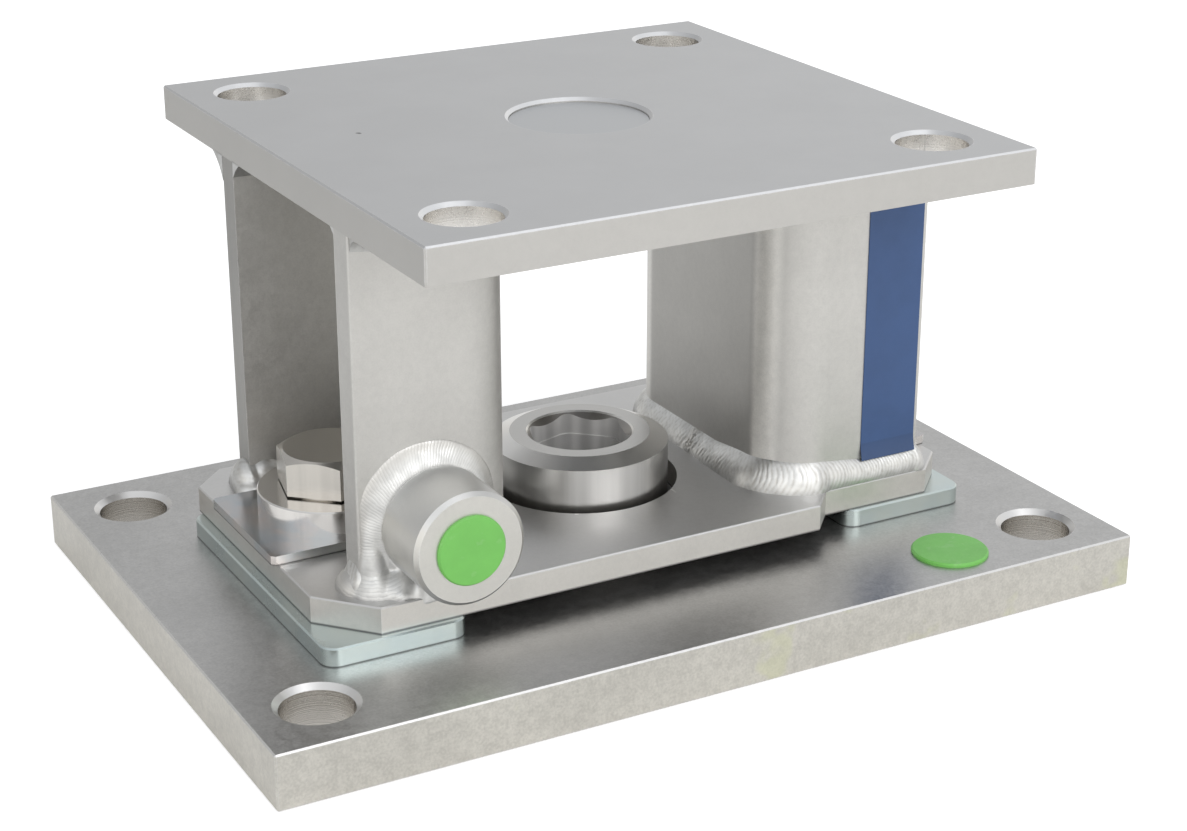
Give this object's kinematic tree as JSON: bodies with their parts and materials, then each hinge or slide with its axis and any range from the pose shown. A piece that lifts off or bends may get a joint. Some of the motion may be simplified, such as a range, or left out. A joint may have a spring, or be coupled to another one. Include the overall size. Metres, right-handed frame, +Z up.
{
  "type": "load cell weighing module",
  "caption": "Stainless weighing module for a canister load cell: base plate with receiver, welded yoke on channel posts, hold-down bolts and transport shims.",
  "frame": {"origin": "middle of the base plate's underside", "axes": "+Z up, +X along the base plate's long side, -Y towards the side with the round boss"},
  "size_m": [0.295, 0.2, 0.152],
  "materials": {
    "blasted_steel": "satin",
    "base_steel": "satin",
    "weld_metal": "rippled satin",
    "turned_steel": "fine turned",
    "bright_steel": "polished",
    "zinc_plate": "zinc plated",
    "green_plastic": "satin",
    "blue_film": "satin",
    "black_rubber": "matt"
  },
  "bodies": {
    "module": {"base_plate": "base_steel", "lower_receiver": "turned_steel", "foot_plate": "blasted_steel", "left_post": "blasted_steel", "right_post": "blasted_steel", "top_plate": "blasted_steel", "left_post_foot_weld": "weld_metal", "right_post_foot_weld": "weld_metal", "left_post_top_weld": "weld_metal", "right_post_top_weld": "weld_metal", "left_post_inner_weld": "weld_metal", "right_post_inner_weld": "weld_metal", "side_boss": "blasted_steel", "boss_weld": "weld_metal", "upper_receiver": "turned_steel", "upper_receiver_ring": "black_rubber", "colour_band": "blue_film"},
    "left_washers": {"left_round_washer": "bright_steel", "left_cover_plate": "zinc_plate"},
    "left_bolt": {"left_hold_down_bolt": "bright_steel"},
    "right_washers": {"right_round_washer": "bright_steel", "right_cover_plate": "zinc_plate"},
    "right_bolt": {"right_hold_down_bolt": "bright_steel"},
    "left_shim_body": {"left_shim": "zinc_plate"},
    "right_shim_body": {"right_shim": "zinc_plate"},
    "boss_plug_body": {"boss_plug": "green_plastic"},
    "base_plug_body": {"base_plug": "green_plastic"}
  },
  "joints": [
    {"name": "left_bolt_lift", "type": "slide", "parent": "module", "child": "left_washers", "axis": [0, 0, 1], "range_m": [0, 0.014]},
    {"name": "left_bolt_turn", "type": "hinge", "parent": "left_washers", "child": "left_bolt", "pos_m": [-0.084, 0.0083, 0.05], "axis": [0, 0, 1], "range_deg": [0, 2017]},
    {"name": "right_bolt_lift", "type": "slide", "parent": "module", "child": "right_washers", "axis": [0, 0, 1], "range_m": [0, 0.014]},
    {"name": "right_bolt_turn", "type": "hinge", "parent": "right_washers", "child": "right_bolt", "pos_m": [0.084, -0.0083, 0.05], "axis": [0, 0, 1], "range_deg": [0, 2017]},
    {"name": "left_shim_pull", "type": "slide", "parent": "module", "child": "left_shim_body", "axis": [-1, 0, 0], "range_m": [0, 0.044]},
    {"name": "right_shim_pull", "type": "slide", "parent": "module", "child": "right_shim_body", "axis": [1, 0, 0], "range_m": [0, 0.044]},
    {"name": "boss_plug_pull", "type": "slide", "parent": "module", "child": "boss_plug_body", "axis": [0, -1, 0], "range_m": [0, 0.009]},
    {"name": "base_plug_pull", "type": "slide", "parent": "module", "child": "base_plug_body", "axis": [0, 0, 1], "range_m": [0, 0.009]}
  ],
  "couplings": [
    {"joint": "left_bolt_turn", "follows": "left_bolt_lift", "rad_per_m": 2513.3},
    {"joint": "right_bolt_turn", "follows": "right_bolt_lift", "rad_per_m": 2513.3}
  ]
}
